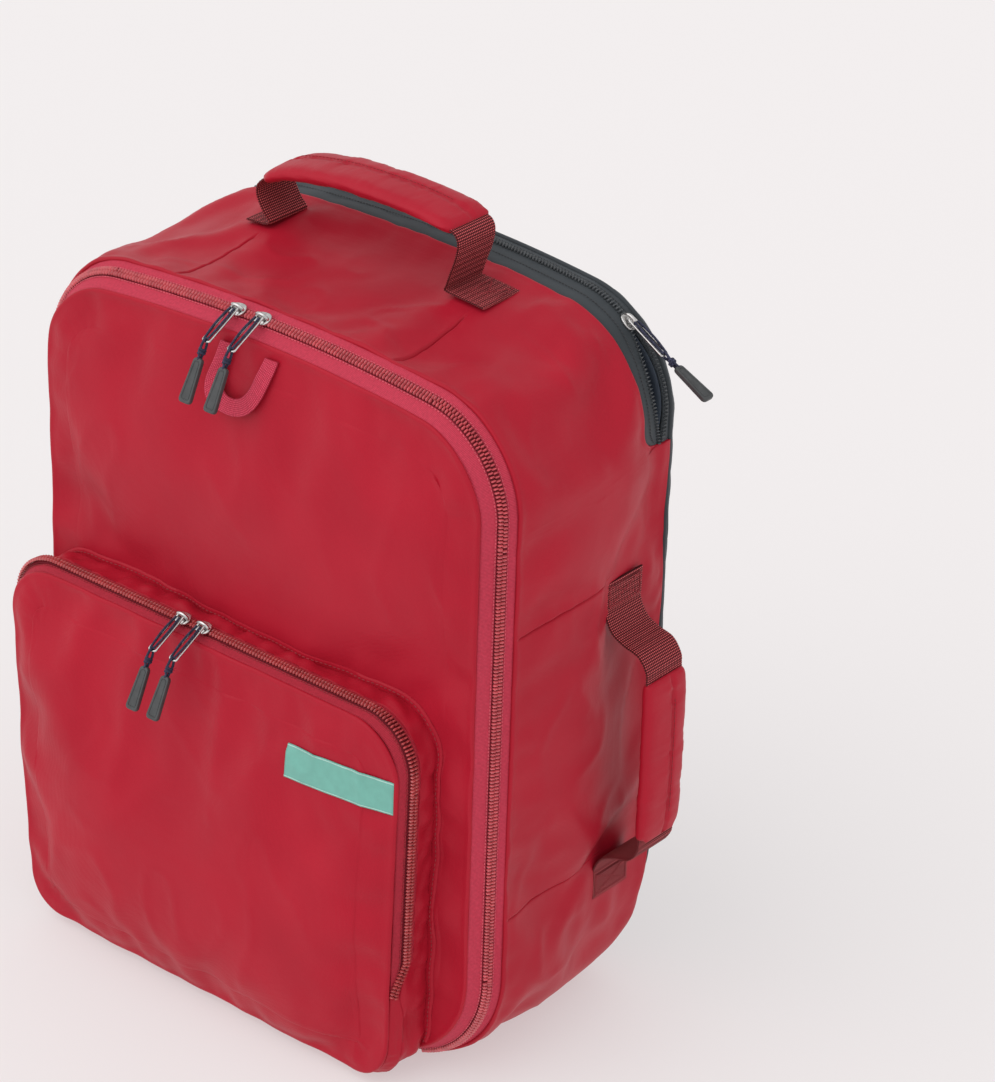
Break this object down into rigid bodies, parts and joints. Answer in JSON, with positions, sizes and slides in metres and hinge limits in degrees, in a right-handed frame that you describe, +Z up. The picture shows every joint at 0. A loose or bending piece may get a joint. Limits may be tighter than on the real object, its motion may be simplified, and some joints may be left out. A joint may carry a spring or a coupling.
{
  "type": "racket backpack",
  "caption": "Tall padded backpack with zipped fold-down cover, front pocket, racket compartment with open zip, top and side handles and shoulder straps.",
  "frame": {"origin": "middle of the flat base that the bag stands on, between the cover's hinge fold and the rounded rear edge", "axes": "+Z up the height of the bag, the cover and its pocket face -Y, the wearer's back is at +Y, and the side handle is at +X"},
  "size_m": [0.4465, 0.3242, 0.5808],
  "materials": {
    "red": "satin ripstop nylon",
    "dark": "matt dark nylon",
    "lining": "smooth lining",
    "mesh": "spacer mesh",
    "tape": "woven zip tape with coil teeth",
    "webbing": "ribbed flecked webbing",
    "black_webbing": "ribbed webbing",
    "label": "smooth film, blank",
    "nickel": "polished nickel",
    "cord": "braided cord",
    "rubber": "soft matt",
    "plastic": "moulded acetal"
  },
  "bodies": {
    "shell": {"main_gusset": "red", "divider_panel": "lining", "rear_gusset": "red", "racket_band_front": "dark", "racket_band_rear": "dark", "back_panel": "dark", "back_pad_left": "mesh", "back_pad_right": "mesh", "lumbar_pad": "mesh", "trolley_band": "dark", "strap_yoke": "dark", "main_zip_tape_rear": "tape", "top_handle_anchor_left": "webbing", "top_handle_anchor_right": "webbing", "side_handle_anchor_top": "webbing", "side_handle_anchor_bottom": "webbing", "strap_anchor_left": "dark", "strap_anchor_right": "dark"},
    "cover": {"cover_panel": "red", "main_zip_tape_front": "tape", "pocket_gusset": "red", "pocket_zip_tape_rear": "tape"},
    "pocket_flap": {"pocket_panel": "red", "pocket_zip_tape_front": "tape", "label_patch": "label"},
    "hang_loop": {"hang_loop": "tape"},
    "main_left_slider": {"main_left_slider": "nickel"},
    "main_left_puller": {"main_left_puller": "nickel"},
    "main_left_tab": {"main_left_cord": "cord", "main_left_tab": "rubber"},
    "main_right_slider": {"main_right_slider": "nickel"},
    "main_right_puller": {"main_right_puller": "nickel"},
    "main_right_tab": {"main_right_cord": "cord", "main_right_tab": "rubber"},
    "pocket_left_slider": {"pocket_left_slider": "nickel"},
    "pocket_left_puller": {"pocket_left_puller": "nickel"},
    "pocket_left_tab": {"pocket_left_cord": "cord", "pocket_left_tab": "rubber"},
    "pocket_right_slider": {"pocket_right_slider": "nickel"},
    "pocket_right_puller": {"pocket_right_puller": "nickel"},
    "pocket_right_tab": {"pocket_right_cord": "cord", "pocket_right_tab": "rubber"},
    "racket_slider": {"racket_slider": "nickel"},
    "racket_puller": {"racket_puller": "nickel"},
    "racket_tab": {"racket_cord": "cord", "racket_tab": "rubber"},
    "top_handle": {"top_handle_webbing": "webbing", "top_handle_sleeve": "red"},
    "side_handle": {"side_handle_webbing": "webbing", "side_handle_sleeve": "red"},
    "strap_left": {"shoulder_pad_left": "mesh", "ladder_lock_left": "plastic", "strap_webbing_left": "black_webbing"},
    "strap_right": {"shoulder_pad_right": "mesh", "ladder_lock_right": "plastic", "strap_webbing_right": "black_webbing"}
  },
  "joints": [
    {"name": "cover_open", "type": "hinge", "parent": "shell", "child": "cover", "pos_m": [0, -0.08924, 0.00483], "axis": [1, 0, 0], "range_deg": [0, 110]},
    {"name": "pocket_open", "type": "hinge", "parent": "cover", "child": "pocket_flap", "pos_m": [0, -0.1247, 0.004], "axis": [1, 0, 0], "range_deg": [0, 100]},
    {"name": "hang_loop_lift", "type": "hinge", "parent": "cover", "child": "hang_loop", "pos_m": [0, -0.105, 0.4965], "axis": [-1, 0, 0], "range_deg": [0, 30]},
    {"name": "main_left_slider_travel", "type": "hinge", "parent": "cover", "child": "main_left_slider", "pos_m": [0, -0.0925, -0.74297], "axis": [0, 1, 0], "range_deg": [-4.4, 0.35]},
    {"name": "main_right_slider_travel", "type": "hinge", "parent": "cover", "child": "main_right_slider", "pos_m": [0, -0.0925, -0.74297], "axis": [0, 1, 0], "range_deg": [0, 6]},
    {"name": "pocket_left_slider_travel", "type": "slide", "parent": "pocket_flap", "child": "pocket_left_slider", "axis": [1, 0, 0], "range_m": [-0.105, 0.007]},
    {"name": "pocket_right_slider_travel", "type": "slide", "parent": "pocket_flap", "child": "pocket_right_slider", "axis": [1, 0, 0], "range_m": [0, 0.13]},
    {"name": "racket_slider_travel", "type": "hinge", "parent": "shell", "child": "racket_slider", "pos_m": [0.1127, 0.078, 0.4443], "axis": [0, 1, 0], "range_deg": [-28, 42]},
    {"name": "main_left_puller_swing", "type": "hinge", "parent": "main_left_slider", "child": "main_left_puller", "pos_m": [-0.02811, -0.0925, 0.51619], "axis": [-1, 0, 0], "range_deg": [0, 130]},
    {"name": "main_left_tab_swing", "type": "hinge", "parent": "main_left_puller", "child": "main_left_tab", "pos_m": [-0.02811, -0.12164, 0.5007], "axis": [-1, 0, 0], "range_deg": [-25, 120]},
    {"name": "main_right_puller_swing", "type": "hinge", "parent": "main_right_slider", "child": "main_right_puller", "pos_m": [-0.00607, -0.0925, 0.5166], "axis": [-1, 0, 0], "range_deg": [0, 130]},
    {"name": "main_right_tab_swing", "type": "hinge", "parent": "main_right_puller", "child": "main_right_tab", "pos_m": [-0.00607, -0.12164, 0.50111], "axis": [-1, 0, 0], "range_deg": [-25, 120]},
    {"name": "pocket_left_puller_swing", "type": "hinge", "parent": "pocket_left_slider", "child": "pocket_left_puller", "pos_m": [-0.045, -0.12757, 0.29386], "axis": [-1, 0, 0], "range_deg": [0, 130]},
    {"name": "pocket_left_tab_swing", "type": "hinge", "parent": "pocket_left_puller", "child": "pocket_left_tab", "pos_m": [-0.045, -0.1567, 0.27837], "axis": [-1, 0, 0], "range_deg": [-25, 120]},
    {"name": "pocket_right_puller_swing", "type": "hinge", "parent": "pocket_right_slider", "child": "pocket_right_puller", "pos_m": [-0.026, -0.12757, 0.29386], "axis": [-1, 0, 0], "range_deg": [0, 130]},
    {"name": "pocket_right_tab_swing", "type": "hinge", "parent": "pocket_right_puller", "child": "pocket_right_tab", "pos_m": [-0.026, -0.1567, 0.27837], "axis": [-1, 0, 0], "range_deg": [-25, 120]},
    {"name": "racket_puller_swing", "type": "hinge", "parent": "racket_slider", "child": "racket_puller", "pos_m": [0.16535, 0.078, 0.51125], "axis": [0, -1, 0], "range_deg": [0, 130]},
    {"name": "racket_tab_swing", "type": "hinge", "parent": "racket_puller", "child": "racket_tab", "pos_m": [0.19392, 0.078, 0.49475], "axis": [0, -1, 0], "range_deg": [-60, 100]},
    {"name": "top_handle_swing", "type": "hinge", "parent": "shell", "child": "top_handle", "pos_m": [0, 0.022, 0.52698], "axis": [1, 0, 0], "range_deg": [-50, 50], "deforming": ["top_handle_webbing"]},
    {"name": "side_handle_swing", "type": "hinge", "parent": "shell", "child": "side_handle", "pos_m": [0.20099, 0.04, 0.226], "axis": [0, 0, 1], "range_deg": [-45, 45], "deforming": ["side_handle_webbing"]},
    {"name": "strap_left_lift", "type": "hinge", "parent": "shell", "child": "strap_left", "pos_m": [0, 0.1085, 0.449], "axis": [1, 0, 0], "range_deg": [0, 60], "deforming": ["strap_webbing_left"]},
    {"name": "strap_right_lift", "type": "hinge", "parent": "shell", "child": "strap_right", "pos_m": [0, 0.1085, 0.449], "axis": [1, 0, 0], "range_deg": [0, 60], "deforming": ["strap_webbing_right"]}
  ]
}
